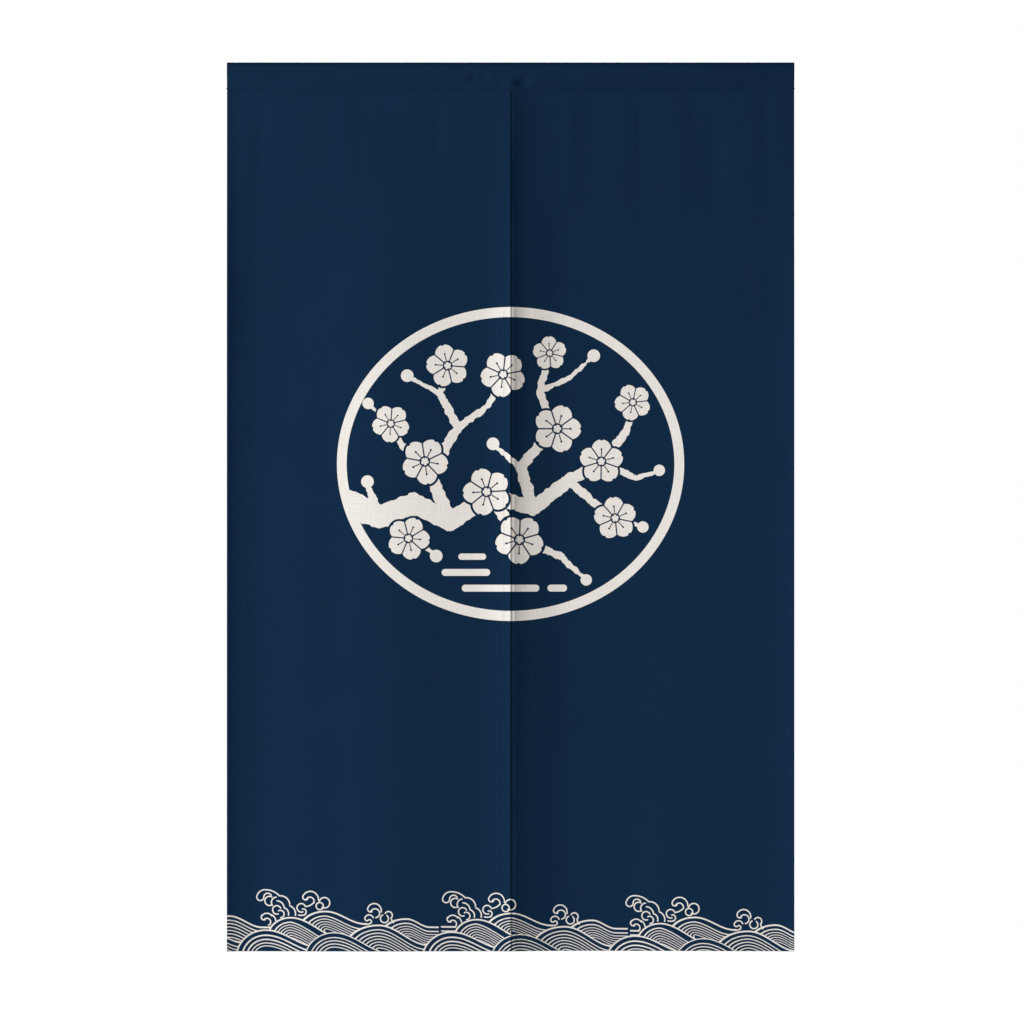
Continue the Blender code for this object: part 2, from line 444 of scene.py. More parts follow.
def makeMedallion(stroke, blossom):
    tree, sink, (cloth,) = startGroup("medallionPrint", ["v Cloth"], ["f White"])
    point = vectorMaths(tree, "ADD", cloth, (0.0, ringPrint["middleDown"], 0.0))
    disc = ellipseInside(tree, point, ringPrint["outer"])
    ring = disc.least(ellipseInside(tree, point, ringPrint["inner"]) * -1.0)

    # the branches are a little uneven, as from a hand-cut stencil
    rough = addNoise(point, ringPrint["roughScale"], 1.5) - 0.5
    bough = None
    for branch in boughBranches:
        for start, end in zip(branch, branch[1:]):
            inside = strokeInside(tree, stroke, point, start, end)
            bough = inside if bough is None else bough.most(inside)
    bough = bough + rough * ringPrint["roughDepth"]
    for row in boughBuds:
        away = vectorMaths(tree, "DISTANCE", point, (row.x * milli, row.y * milli, 0))
        bough = bough.most(away * -1.0 + row.radius * milli)
    for row in mistBars:
        ends = (row.x1, row.y, row.half), (row.x2, row.y, row.half)
        bough = bough.most(strokeInside(tree, stroke, point, *ends))
    for row in boughFlowers:
        petals, keepOut = useGroup(tree, blossom, {
            "Point": point,
            "Centre": (row.x * milli, row.y * milli, 0),
            "Radius": row.radius * milli,
            "Turn": math.radians(row.turn),
        })
        bough = bough.least(keepOut * -1.0).most(petals)
    white = ring.most(bough.least(disc))
    plug(sink.inputs["White"], softStep(white, -printEdge, printEdge))
    return tree


# The wave border: humps painted from the back to the front, with foam curls over them.
# Millimetres along from a first crest and up from the hem; the chart repeats along the cloth.

borderPrint = {
    "firstCrest": -385.8,
    "period": 293.3,
    "downhill": 0.0133,         # the rows of waves run a little downhill to the right
    "levelAt": -268.0,
    "before": 56.0,             # a repeat starts this far before its first crest
    "curlHalf": 0.98,           # half of a curl's line
    "thinner": 0.38,            # each white line is thinner than its place on the chart by this share
    "joinHalf": 2.0,            # a thin gap is left where two lengths of the print meet
    "joinAhead": 40.0,          # from here before a join, what stands in front of it is of the later length
    "onlyFrom": 6.0,            # hidden by a hump in front, the first hump ends and the far ones begin
    "rampDepth": 40.0,          # how far in the lines of a hump may go
    "endAtJoin": ("start", "far", "long"),  # humps that a join cuts off; the others run on in front of it
    "zoneUp": 0.113,
}
# each length of the print but the first: where it begins along the cloth, and how far across and up it is
# out of step with the length before it
PrintLength = namedtuple("PrintLength", "begins across up")
printLengths = (
    PrintLength(273.6, 1.5, 0.8),
    PrintLength(573.6, -2.1, -3.0),
)
# crest and top place a hump; its left side is part of an ellipse, left across and rise high, and its right
# side falls in a bell, right across and fall high, and runs on level for its tail; swell widens the blue
# band under its outline there; one at the left edge of the cloth comes only once; lines gives the widths
# of white and blue in turn, from the outline inwards, and the core is blue
Hump = namedtuple("Hump", "name crest top left rise right fall tail swell once lines")
waveHumps = (
    Hump("start", -60.8, 55.0, 57.0, 57.0, 52.0, 17.5, 66.0, 0.0, True,
         (3.2, 3.2, 3.0, 2.4, 2.8, 2.6, 2.8, 2.6, 2.8, 2.6, 2.8, 2.6, 2.8, 2.6, 3.0)),
    Hump("far", 220.8, 54.0, 42.0, 28.0, 37.0, 12.6, 40.0, 0.0, False,
         (3.0, 3.4, 3.0, 2.4, 2.0, 2.1, 1.8, 1.9, 1.8, 1.9, 1.8, 1.8, 1.8)),
    Hump("second", 92.7, 64.2, 42.6, 30.0, 62.0, 18.9, 4.0, 2.6, False,
         (3.0, 4.0, 2.8, 2.2, 2.2, 2.0, 2.0, 2.0, 1.8, 2.0, 1.8, 1.9, 1.8)),
    Hump("long", 177.3, 43.4, 56.0, 40.0, 77.8, 30.4, 60.0, 1.4, False,
         (3.0, 3.8, 2.7, 2.7, 2.6, 2.4, 2.4, 2.4, 2.2, 2.4, 2.2, 2.4, 2.2, 2.4, 2.2)),
    Hump("banded", 37.6, 53.4, 37.9, 31.7, 81.0, 30.8, 0.0, 4.6, False,
         (2.8, 4.0, 3.0, 1.9, 2.0, 2.0, 2.0, 2.0, 2.0, 2.0, 2.0, 2.0, 2.0, 2.0, 2.0)),
    Hump("left", -2.0, 33.0, 48.0, 44.0, 82.5, 25.4, 20.0, 0.0, False,
         (2.7, 4.7, 3.6, 3.1, 3.5, 2.5, 2.5, 2.3, 2.2)),
    Hump("right", 106.5, 30.2, 48.0, 44.0, 88.0, 30.9, 0.0, 0.6, False,
         (1.9, 5.2, 2.5, 2.6, 2.5, 2.5, 2.5, 2.5, 2.4)),
)
# arcs of foam: middle, radius, and the degrees where each starts and ends, 0 to the right and 90 up
Curl = namedtuple("Curl", "x y radius starts ends")
foamCurls = (
    # the tall plume
    Curl(-2.6, 66.5, 29.5, 43, 90),
    Curl(-3.6, 82.6, 13.4, 85, 168),
    Curl(-11.35, 84.25, 5.6, 165, 360),
    Curl(0.55, 84.25, 6.3, 30, 180),
    Curl(3.2, 78.4, 7.3, 60, 290),
    Curl(14.6, 76.2, 8.3, 95, 215),
    Curl(14.9, 67.0, 11.7, 4, 88),
    Curl(24.1, 58.7, 9.5, -15, 75),
    Curl(14.9, 64.3, 6.7, 25, 290),
    Curl(20.6, 57.8, 5.9, -85, 120),
    Curl(20.9, 72.2, 14.6, 5, 95),
    Curl(31.6, 58.7, 13.0, -12, 72),
    # its small hook
    Curl(-0.8, 49.4, 9.4, 34, 152),
    Curl(-5.2, 52.6, 4.6, 140, 290),
    Curl(-0.7, 45.0, 5.8, -65, 140),
    Curl(1.4, 45.6, 12.0, 8, 62),
    # the plume on the right
    Curl(68.2, 81.6, 12.9, -5, 155),
    Curl(60.5, 85.2, 4.4, 155, 320),
    Curl(67.6, 78.9, 6.5, -25, 150),
    Curl(59.0, 89.7, 19.4, -84, -38),
    Curl(53.8, 68.2, 6.8, 18, 290),
    Curl(57.0, 61.9, 4.6, -60, 110),
    Curl(53.5, 71.4, 15.2, -105, -66),
    Curl(90.6, 76.8, 8.3, -118, 165),
    Curl(83.0, 71.4, 5.7, 0, 360),
    # the low curls
    Curl(169.7, 65.7, 11.0, -12, 160),
    Curl(163.7, 67.9, 4.6, 160, 300),
    Curl(170.9, 61.4, 7.1, -80, 160),
    Curl(161.4, 51.7, 7.0, 20, 160),
    Curl(158.1, 52.9, 3.5, 160, 300),
    Curl(161.9, 47.9, 3.2, -60, 120),
    Curl(156.6, 57.1, 13.6, -112, -60),
    Curl(192.2, 58.4, 6.0, -30, 150),
    Curl(210.6, 56.3, 14.3, 186, 222),
    Curl(185.7, 53.0, 6.4, 115, 412),
)


def makeHump():
    sizes = ["f Crest", "f Top", "f Left", "f Rise", "f Right", "f Fall", "f Tail", "f Swell", "f Band"]
    tree, sink, given = startGroup("waveHump", ["f Along", "f Up"] + sizes, ["f Depth", "f Line Depth"])
    along, up, crest, top, left, rise, right, fall, tail, swell, band = given
    period = borderPrint["period"] * milli
    before = borderPrint["before"] * milli
    x = addMaths(tree, "WRAP", along - crest, period - before, -before)
    leftUp = (up - top + rise).most(0.0)
    leftDepth = rise - vectorMaths(tree, "LENGTH", joinXY(tree, x * rise / left, leftUp))
    share = (x / right).least(1.0).most(0.0)
    bell = ((share * math.pi).maths("COSINE") * 0.5 + 0.5) * fall
    rightDepth = bell - (up - top + fall)
    depth = mixValues(addMaths(tree, "GREATER_THAN", x, 0.0), leftDepth, rightDepth)
    # the swell is whole half-way down the right side
    widened = depth - share * (share * -1.0 + 1.0) * 4.0 * swell
    plug(sink.inputs["Depth"], depth.least(right + tail - x))
    plug(sink.inputs["Line Depth"], widened.most(depth.least(band)))
    return tree


def lineRamp(tree, depth, widths):
    # white and blue in turn, going inwards
    total = borderPrint["rampDepth"] * milli
    node = tree.nodes.new("ShaderNodeValToRGB")
    ramp = node.color_ramp
    ramp.interpolation = "LINEAR"
    soft = printEdge / total
    place = 0.0
    ramp.elements[0].position = 0.0
    ramp.elements[0].color = (1, 1, 1, 1)
    last = ramp.elements[1]
    last.position = 1.0
    last.color = (0, 0, 0, 1)
    white = 1.0
    for i, width in enumerate(widths):
        place += width * milli / total
        # a white line ends before its place does, and the next begins after its own does
        beside = widths[i + 1] if white == 0.0 and i + 1 < len(widths) else width
        trim = (0.5 - white) * beside * borderPrint["thinner"] * milli / total
        for side in (-soft, soft):
            element = ramp.elements.new(min(place + trim + side, 0.999))
            element.color = (white, white, white, 1)
            white = 1.0 - white if side < 0 else white
    plug(node.inputs["Fac"], depth / total)
    return Signal(tree, node.outputs["Color"])


def printStep(tree, along, up, ahead):
    # place on the chart, allowing for the lengths of the print that don't quite meet
    onCloth = along
    for row in printLengths:
        past = addMaths(tree, "GREATER_THAN", onCloth, (row.begins - ahead) * milli)
        along = along - past * row.across * milli
        up = up - past * row.up * milli
    return along, up


def paintHumps(tree, along, behindJoin, beforeJoin):
    b = borderPrint
    hump = makeHump()
    fromJoin = None
    for row in printLengths:
        away = abs(along - row.begins * milli)
        fromJoin = away if fromJoin is None else fromJoin.least(away)
    white = None
    for row in waveHumps:
        humpAlong, humpUp = behindJoin if row.name in b["endAtJoin"] else beforeJoin
        values = {"Along": humpAlong, "Up": humpUp, "Band": (row.lines[0] + row.lines[1] * 0.5) * milli}
        for label in ("crest", "top", "left", "rise", "right", "fall", "tail", "swell"):
            values[label.title()] = getattr(row, label) * milli
        depth, lineDepth = useGroup(tree, hump, values)
        ink = lineRamp(tree, lineDepth, row.lines)
        cover = softStep(depth, -printEdge, printEdge)
        if row.name == "far":
            cover = cover * addMaths(tree, "GREATER_THAN", along, b["onlyFrom"] * milli)
            ink = ink * softStep(fromJoin, b["joinHalf"] * milli - printEdge, b["joinHalf"] * milli)
        if row.once:
            cover = cover * addMaths(tree, "LESS_THAN", along, b["onlyFrom"] * milli)
        white = ink * cover if white is None else mixValues(cover, white, ink)
    return white


def drawCurls(tree, arc, along, up):
    period = borderPrint["period"] * milli
    before = borderPrint["before"] * milli
    point = joinXY(tree, addMaths(tree, "WRAP", along, period - before, -before), up)
    nearest = None
    for row in foamCurls:
        middle = math.radians((row.starts + row.ends) / 2)
        half = math.radians((row.ends - row.starts) / 2)
        distance = useGroup(tree, arc, {
            "Point": point,
            "Centre": (row.x * milli, row.y * milli, 0),
            "Radius": row.radius * milli,
            "Turn": math.pi / 2 - middle,
            "End Across": math.sin(half),
            "End Up": math.cos(half),
        })[0]
        nearest = distance if nearest is None else nearest.least(distance)
    return softStep(nearest * -1.0 + borderPrint["curlHalf"] * milli, -printEdge, printEdge)


def makeBorder(arc):
    b = borderPrint
    tree, sink, (cloth,) = startGroup("waveBorder", ["v Cloth"], ["f White"])
    across, down = splitXY(cloth)
    along = across - b["firstCrest"] * milli
    height = down + drop
    up = height + (across - b["levelAt"] * milli) * b["downhill"]
    beforeJoin = printStep(tree, along, up, b["joinAhead"])
    humps = paintHumps(tree, along, printStep(tree, along, up, 0.0), beforeJoin)
    curls = drawCurls(tree, arc, *beforeJoin)
    aboveHem = softStep(height, 0.0, printEdge * 2)
    plug(sink.inputs["White"], humps.most(curls) * aboveHem)
    return tree


# Cloth: a plain weave with slubs, dyed navy, with the print left white

clothLook = {
    "navy": (0.0019, 0.0185, 0.0515),
    "white": (0.800, 0.762, 0.715),
    "backNavy": (0.0042, 0.0220, 0.0580),
    "backWhite": (0.060, 0.088, 0.128),
    "pitch": 0.00080,           # between threads
    "threadBump": 0.00012,
    "slub": 0.16,               # how far slubs change the white
    "slubNavy": 0.10,
    "warpSlubs": (620.0, 26.0),     # how close they lie, across and down
    "weftSlubs": (22.0, 560.0),
    "threadHeight": 0.35,
    "slubHeight": 0.9,
    "cloud": 0.10,              # slow unevenness of the dye
    "cloudWhite": 0.03,
    "cloudScale": 7.0,
    "roughness": 0.90,
    "slubRoughness": 0.12,
    "shine": 0.12,
}


def makeWeave():
    tree, sink, (cloth,) = startGroup("plainWeave", ["v Cloth"], ["f Height", "f Slubs"])
    x, y = splitXY(cloth)
    look = clothLook
    turns = math.pi / look["pitch"]
    over = (x * turns).maths("SINE") * (y * turns).maths("SINE")
    warp, weft = [
        addNoise(joinXY(tree, x * across, y * down), 1.0)
        for across, down in (look["warpSlubs"], look["weftSlubs"])
    ]
    slubs = warp + weft - 1.0
    plug(sink.inputs["Height"], over * look["threadHeight"] + slubs * look["slubHeight"])
    plug(sink.inputs["Slubs"], slubs)
    return tree


def makeDye(weave):
    tree, sink, given = startGroup("dyedCloth", [
        "v Cloth", "f White", "c Navy", "c Pale"], ["c Colour", "f Roughness", "f Height"])
    cloth, white, navy, pale = given
    height, slubs = useGroup(tree, weave, {"Cloth": cloth})
    look = clothLook
    cloud = addNoise(cloth, look["cloudScale"], 3.0) - 0.5
    plainGain = slubs * look["slubNavy"] + cloud * look["cloud"] + 1.0
    paleGain = slubs * look["slub"] + cloud * look["cloudWhite"] + 1.0
    gain = mixValues(white, plainGain, paleGain)
    colour = mixColours(white, navy, pale)
    plug(sink.inputs["Colour"], scaled(colour, gain))
    plug(sink.inputs["Roughness"], slubs * look["slubRoughness"] + look["roughness"])
    plug(sink.inputs["Height"], height)
    return tree


def clothMaterial(name, dye, printGroup, front):
    material = bpy.data.materials.new(name)
    material.use_nodes = True
    tree = material.node_tree
    shader = tree.nodes["Principled BSDF"]
    cloth = addNode(tree, "ShaderNodeUVMap", {}, uv_map="cloth")[0]
    white = useGroup(tree, printGroup, {"Cloth": cloth})[0] if printGroup else 0.0
    navy = clothLook["navy"] if front else clothLook["backNavy"]
    pale = clothLook["white"] if front else clothLook["backWhite"]
    colour, roughness, height = useGroup(tree, dye, {
        "Cloth": cloth,
        "White": white,
        "Navy": (*navy, 1),
        "Pale": (*pale, 1),
    })
    bump = addNode(tree, "ShaderNodeBump", {"Distance": clothLook["threadBump"], "Height": height})[0]
    plug(shader.inputs["Base Color"], colour)
    plug(shader.inputs["Roughness"], roughness)
    plug(shader.inputs["Normal"], bump)
    plug(shader.inputs["Specular IOR Level"], clothLook["shine"])
    return material


def makeClothMaterials():
    dye = makeDye(makeWeave())
    medallion = makeMedallion(makeStroke(), makeBlossom())
    border = makeBorder(makeArc())
    zones = (("plain", None), ("medallion", medallion), ("border", border))
    fronts = [clothMaterial("navyCloth_" + zone, dye, group, True) for zone, group in zones]
    backs = [clothMaterial("navyClothBack_" + zone, dye, group, False) for zone, group in zones]
    return fronts, backs


fronts, backs = makeClothMaterials()
print("cloth materials ready")


# How the cloth hangs. These are the solids' own folds, with the smaller creases added below them.

above, below = -2.0, 2.0    # past the sleeve and past the hem
seamStep, slitStep = 0.0015, 0.0021     # how far the right panel's edge lies behind, at the seam and the slit
# a fold's crest is at xTop under the sleeve and at xFoot at the hem, and its sides reach as far as is given;
# going down, it grows between begins and full, and fades between fades and gone
foldValues = "panel shape xTop xFoot reachTop reachFoot depth begins full fades gone"
Fold = namedtuple("Fold", foldValues, defaults=(below, below + 1))
mainFolds = (
    # the two panels rise to a ridge where they meet
    Fold("left", "edge", 0.0, 0.0, 0.040, 0.062, 0.0055, -0.100, 0.500),
    Fold("right", "edge", 0.0, 0.0, 0.024, 0.046, 0.0045, -0.100, 0.500),
    Fold("right", "edge", 0.0, 0.0, 0.070, 0.135, 0.0050, -0.100, 0.500),
    Fold("right", "edge", 0.0, 0.0, 0.050, 0.070, 0.0050, 0.020, 0.070),
    # beyond it the right panel sinks back, which keeps that strip in shade
    Fold("right", "swell", 0.150, 0.150, 0.360, 0.360, -0.00795, 0.020, 0.070),
    Fold("right", "swell", 0.130, 0.130, 0.330, 0.330, -0.00603, -0.100, 0.500),
    Fold("right", "swell", 0.0, 0.0, 0.300, 0.300, seamStep - slitStep, 0.080, 0.210),
    Fold("right", "swell", 0.034, 0.036, 0.050, 0.055, 0.0026, 0.150, 0.320),
    Fold("right", "swell", 0.318, 0.314, 0.045, 0.045, -0.0026, 0.040, 0.100, 0.130, 0.330),
    Fold("right", "swell", 0.250, 0.270, 0.090, 0.110, 0.0012, 0.500, 1.000),
    Fold("right", "edge", 0.450, 0.450, 0.050, 0.070, 0.0055, 0.060, 0.450),
    Fold("left", "swell", -0.190, -0.205, 0.170, 0.180, 0.0080, 0.050, 0.520),
    Fold("left", "swell", -0.345, -0.330, 0.060, 0.080, 0.0022, 0.300, 0.900),
    Fold("left", "edge", -0.450, -0.450, 0.045, 0.060, 0.0060, 0.060, 0.400),
)
seamFolds = (
    # the right panel's edge lies behind the left's: a little inside the sleeve, and clear of its hem below
    Fold("right", "edge", 0.0, 0.0, 0.018, 0.018, -0.00062, above - 1, above, sleeveDrop, sleeveDrop + 0.020),
    Fold("right", "tuck", 0.0002, 0.0003, 0.003, 0.008, -seamStep, sleeveDrop, sleeveDrop + 0.009),
)
smallFolds = (
    # the outer hems curl forward, and below the sleeve the cloth hangs in short soft puckers
    Fold("left", "edge", -0.450, -0.450, 0.018, 0.018, 0.0015, above - 1, above),
    Fold("right", "edge", 0.450, 0.450, 0.016, 0.016, 0.0010, 0.300, 0.600),
    Fold("left", "swell", -0.262, -0.258, 0.022, 0.034, 0.0007, 0.040, 0.075, 0.100, 0.300),
    Fold("left", "swell", -0.118, -0.124, 0.020, 0.030, -0.0008, 0.040, 0.070, 0.090, 0.260),
    Fold("left", "swell", -0.395, -0.402, 0.022, 0.030, -0.0007, 0.040, 0.080, 0.110, 0.420),
    Fold("left", "swell", -0.056, -0.060, 0.024, 0.034, -0.0006, 0.040, 0.065, 0.080, 0.210),
    Fold("right", "swell", 0.098, 0.104, 0.022, 0.032, 0.0008, 0.040, 0.070, 0.095, 0.280),
    Fold("right", "swell", 0.205, 0.200, 0.022, 0.034, -0.0009, 0.040, 0.075, 0.100, 0.330),
    Fold("right", "swell", 0.286, 0.292, 0.020, 0.030, -0.0010, 0.040, 0.070, 0.090, 0.240),
    Fold("right", "swell", 0.405, 0.398, 0.020, 0.030, -0.0009, 0.040, 0.075, 0.100, 0.300),
)


def eased(value, low, high):
    share = min(max((value - low) / (high - low), 0.0), 1.0)
    return share * share * (3.0 - 2.0 * share)


def foldShape(shape, away):
    if shape == "tuck" and away < 0.0:
        return 1.0
    if abs(away) >= 1.0:
        return 0.0
    if shape == "edge":
        return (1.0 - abs(away)) ** 2
    return 0.5 + 0.5 * math.cos(math.pi * away)


def forward(panel, x, down, folds):
    # how far the cloth's front lies before the plane under the rod
    share = (down - sleeveDrop) / (drop - sleeveDrop)
    total = 0.0
    for f in folds:
        if f.panel != panel:
            continue
        crest = f.xTop + (f.xFoot - f.xTop) * share
        reach = f.reachTop + (f.reachFoot - f.reachTop) * share
        grown = eased(down, f.begins, f.full) * (1.0 - eased(down, f.fades, f.gone))
        total += f.depth * grown * foldShape(f.shape, (x - crest) / reach)
    return total


# Hems: an edge turned to the back round a small roll, as a sewn hem lies

hem = {
    "thick": 0.00055,       # one layer
    "roll": 0.00062,        # radius of the turned edge
    "side": 0.0125,
    "foot": 0.0200,
    "cornerRoll": 0.00132,  # where the foot's hem is turned over the side's
    "cornerEase": 0.012,
    "rollSteps": 6,
    "flatSteps": 3,
    "trimTurn": 0.6,        # a trimmed hem is cut away past this share of its roll
    "stitchIn": 0.0108,     # stitches from the side edge
    "footStitchIn": 0.0178,
}


def turned(place, edge, roll, lift=0.0):
    # place runs on past the edge: returns where it lies, towards the edge, and how far behind the front
    past = place - (edge - roll)
    if past <= 0.0:
        return place, lift
    angle = min(past / roll, math.pi)
    back = max(past - math.pi * roll, 0.0)
    radius = roll - lift
    return edge - roll + radius * math.sin(angle) - back, roll - radius * math.cos(angle)


def hemPlaces(edge, roll, hemWidth):
    # places from just before the edge, round the roll and back along the turned hem
    start = edge - roll
    steps = hem["rollSteps"]
    places = [start + math.pi * roll * i / steps for i in range(steps + 1)]
    end = start + math.pi * roll + hemWidth - roll
    last = places[-1]
    count = hem["flatSteps"]
    return places + [last + (end - last) * i / count for i in range(1, count + 1)]


def evenly(low, high, step):
    # places about a step apart, from low on; high itself is left to what follows
    count = max(1, round((high - low) / step))
    return [low + (high - low) * i / count for i in range(count)]


def gridSheet(columns, rows):
    bm = bmesh.new()
    bmesh.ops.create_grid(bm, x_segments=columns - 1, y_segments=rows - 1, size=1.0)
    table = {}
    for vert in bm.verts:
        column = round((vert.co.x + 1.0) / 2.0 * (columns - 1))
        row = round((1.0 - vert.co.y) / 2.0 * (rows - 1))
        table[column, row] = vert
    return bm, table


panelSettings = {
    "step": 0.005,          # between points of the cloth
    "fineWide": 0.012,      # beside the slit they lie closer
    "fineStep": 0.0008,
    "lap": {"left": 0.0001, "right": 0.0023},   # how far each slit edge runs past the middle
    "tuck": 0.0065,         # cloth held inside the sleeve's foot
    "slitTrim": 0.0085,     # the slit's hem is cut away down to here, below the sleeve
    "sideTrim": 0.001,
    "topDepth": 0.00028,    # the panel's front behind the plane under the rod, at its top
    "hemPucker": 0.00022,
    "hemPuckerWide": 0.016, # how far in from a hem's stitches the cloth still puckers
    "hemPuckerLong": 0.011,
    "sag": 0.0005,          # slow unevenness all over
    "sagSize": 0.085,
    "sagGrows": 0.08,       # it grows over so much of the cloth below the sleeve
    "sagFrom": (0.004, 0.06),   # and between these places from the middle
}


def panelRelief(panel, x, down):
    # puckers beside the stitches, alike on both sides of the slit, and a slow drift in between
    p = panelSettings
    seed = 3.7 if panel == "left" else 9.1
    outer = -width / 2 if panel == "left" else width / 2
    total = 0.0
    for edge in (outer, 0.0):
        away = abs(abs(x - edge) - hem["stitchIn"])
        wave = noise.noise(Vector((edge * 7.0, down / p["hemPuckerLong"], 0.5)))
        total += p["hemPucker"] * wave * max(0.0, 1.0 - away / p["hemPuckerWide"])
    away = abs(drop - hem["footStitchIn"] - down)
    wave = noise.noise(Vector((x / p["hemPuckerLong"], 3.1, 2.5)))
    total += p["hemPucker"] * wave * max(0.0, 1.0 - away / p["hemPuckerWide"])
    free = eased(down, sleeveDrop, sleeveDrop + p["sagGrows"]) * eased(abs(x), *p["sagFrom"])
    drift = noise.noise(Vector((x / p["sagSize"] + seed, down / (p["sagSize"] * 3.0), 7.0)))
    return total + p["sag"] * drift * free


def panelFront(panel, x, down):
    hang = forward(panel, x, down, mainFolds + seamFolds + smallFolds)
    return -hang - panelRelief(panel, x, down) - panelSettings["topDepth"]


def footHemRoll(panel, x):
    # the foot's hem turns wider where it lies over the hems of the side and the slit
    nearEdge = min(width / 2 - abs(x), panelSettings["lap"][panel] + abs(x))
    corner = 1.0 - eased(nearEdge, hem["side"], hem["side"] + hem["cornerEase"])
    return hem["roll"] + (hem["cornerRoll"] - hem["roll"]) * corner


def finishMesh(name, bm, uvs, doomed, shown, outward):
    # the cloth's own map; faces turned so that the shown one looks outward; and the trimmed hems cut away
    layer = bm.loops.layers.uv.new("cloth")
    for face in bm.faces:
        face.smooth = True
        for loop in face.loops:
            loop[layer].uv = uvs[loop.vert]
    shown.normal_update()
    bmesh.ops.recalc_face_normals(bm, faces=bm.faces)
    if shown.normal.dot(Vector(outward)) < 0:
        bmesh.ops.reverse_faces(bm, faces=bm.faces)
    bmesh.ops.delete(bm, geom=doomed, context="VERTS")
    mesh = bpy.data.meshes.new(name)
    bm.to_mesh(mesh)
    bm.free()
    piece = bpy.data.objects.new(name, mesh)
    bpy.context.scene.collection.objects.link(piece)
    return piece


def makePanel(panel):
    p = panelSettings
    side = -1.0 if panel == "left" else 1.0
    roll = hem["roll"]
    outer = width / 2
    # across: u grows from the outer hem's cut edge to the slit hem's, as seen from the outside in
    inward = hemPlaces(outer, roll, hem["side"])
    lapEdge = p["lap"][panel]
    slitward = hemPlaces(lapEdge, roll, hem["side"])
    fine = lapEdge - roll - p["fineWide"]
    flat = evenly(-(outer - roll), fine, p["step"]) + evenly(fine, lapEdge - roll, p["fineStep"])
    acrossPlaces = [-u for u in reversed(inward)] + flat[1:] + slitward
    top = sleeveDrop - p["tuck"]
    downPlaces = evenly(top, drop - hem["cornerRoll"], p["step"]) + hemPlaces(drop, roll, hem["foot"])
    bm, table = gridSheet(len(acrossPlaces), len(downPlaces))
    uvs = {}
    doomed = []
    turnedIn = math.pi * roll * hem["trimTurn"]
    for (column, row), vert in table.items():
        # here the panel is laid out as the left one, and mirrored at the end
        u, v = acrossPlaces[column], downPlaces[row]
        if u < -(outer - roll):
            x, lift = turned(-u, outer, roll)
            x = -x
        else:
            x, lift = turned(u, lapEdge, roll)
        x *= -side
        down, depth = turned(v, drop, footHemRoll(panel, x), lift)
        vert.co = (x, panelFront(panel, x, down) + depth, -down)
        uvs[vert] = (u * -side, -v)
        # the hems are trimmed inside the sleeve, to keep the seam thin
        inSideHem = u < -(outer - roll) - turnedIn and v < sleeveDrop + p["sideTrim"]
        inSlitHem = u > lapEdge - roll + turnedIn and v < sleeveDrop + p["slitTrim"]
        if inSideHem or inSlitHem:
            doomed.append(vert)
    for face in bm.faces:
        down = -face.calc_center_median().z
        if abs(down - ringPrint["middleDown"]) < ringZoneHalf:
            face.material_index = 1
        elif down > drop - borderPrint["zoneUp"]:
            face.material_index = 2
    # the printed side faces the viewer
    shown = table[len(acrossPlaces) // 2, len(downPlaces) // 2].link_faces[0]
    piece = finishMesh(panel + "Cloth", bm, uvs, doomed, shown, (0, -1, 0))
    return piece, (acrossPlaces[-1] - acrossPlaces[0], downPlaces[-1] - downPlaces[0])


def applyModifiers(piece):
    bpy.context.view_layer.update()
    evaluated = piece.evaluated_get(bpy.context.evaluated_depsgraph_get())
    mesh = bpy.data.meshes.new_from_object(evaluated)
    piece.modifiers.clear()
    old = piece.data
    piece.data = mesh
    bpy.data.meshes.remove(old)
    mesh.name = piece.name


def solidify(piece, thick, materials):
    for material in materials:
        piece.data.materials.append(material)
    thicken = piece.modifiers.new("thickness", "SOLIDIFY")
    thicken.thickness = thick
    thicken.offset = -1.0
    thicken.use_even_offset = True
    thicken.material_offset = len(materials) // 2
    thicken.material_offset_rim = 0
    applyModifiers(piece)


# The map that a bake of the cloth goes through: its front, its back and its cut edges side by side.
# The rows with the print on them get most of its height.

bakeMap = {
    "name": "OFBake",
    "front": (0.003, 0.777),
    "back": (0.783, 0.977),
    "cutEdges": (0.984, 0.997),
    "margin": 0.003,
    "flatArea": 1e-9,       # a face with less on the cloth's own map is a cut edge
    "borderTop": 0.225,     # a panel's share of the height up to here, and to the ring's foot and top
    "ringFoot": 0.360,
    "ringTop": 0.885,
}


def bakeHeight(place, bands):
    for (low, lowShare), (high, highShare) in zip(bands, bands[1:]):
        if place <= high:
            break
    return lowShare + (highShare - lowShare) * (place - low) / (high - low)


def addBakeMap(piece, innerBands):
    # innerBands: places up the cloth's own map, each with its share of the new map's height
    b = bakeMap
    mesh = piece.data
    mesh.uv_layers.new(name=b["name"])
    cloth = [item.vector.copy() for item in mesh.uv_layers["cloth"].uv]
    target = mesh.uv_layers[b["name"]].uv
    left = min(corner.x for corner in cloth)
    right = max(corner.x for corner in cloth)
    bands = [(min(corner.y for corner in cloth), b["margin"]), *innerBands]
    bands.append((max(corner.y for corner in cloth), 1 - b["margin"]))
    cutEdges = []
    for face in mesh.polygons:
        corners = [cloth[i] for i in face.loop_indices]
        area = sum(c.cross(d) for c, d in zip(corners, corners[1:] + corners[:1])) / 2
        if abs(area) < b["flatArea"]:
            cutEdges.append(face)
            continue
        low, high = b["front"] if face.material_index < len(fronts) else b["back"]
        for i, corner in zip(face.loop_indices, corners):
            across = low + (high - low) * (corner.x - left) / (right - left)
            target[i].vector = (across, bakeHeight(corner.y, bands))
    low, high = b["cutEdges"]
    each = (1 - 2 * b["margin"]) / max(len(cutEdges), 1)
    for count, face in enumerate(cutEdges):
        foot = b["margin"] + each * count
        cell = ((low, foot), (high, foot), (high, foot + each), (low, foot + each))
        for i, corner in zip(face.loop_indices, cell):
            target[i].vector = corner


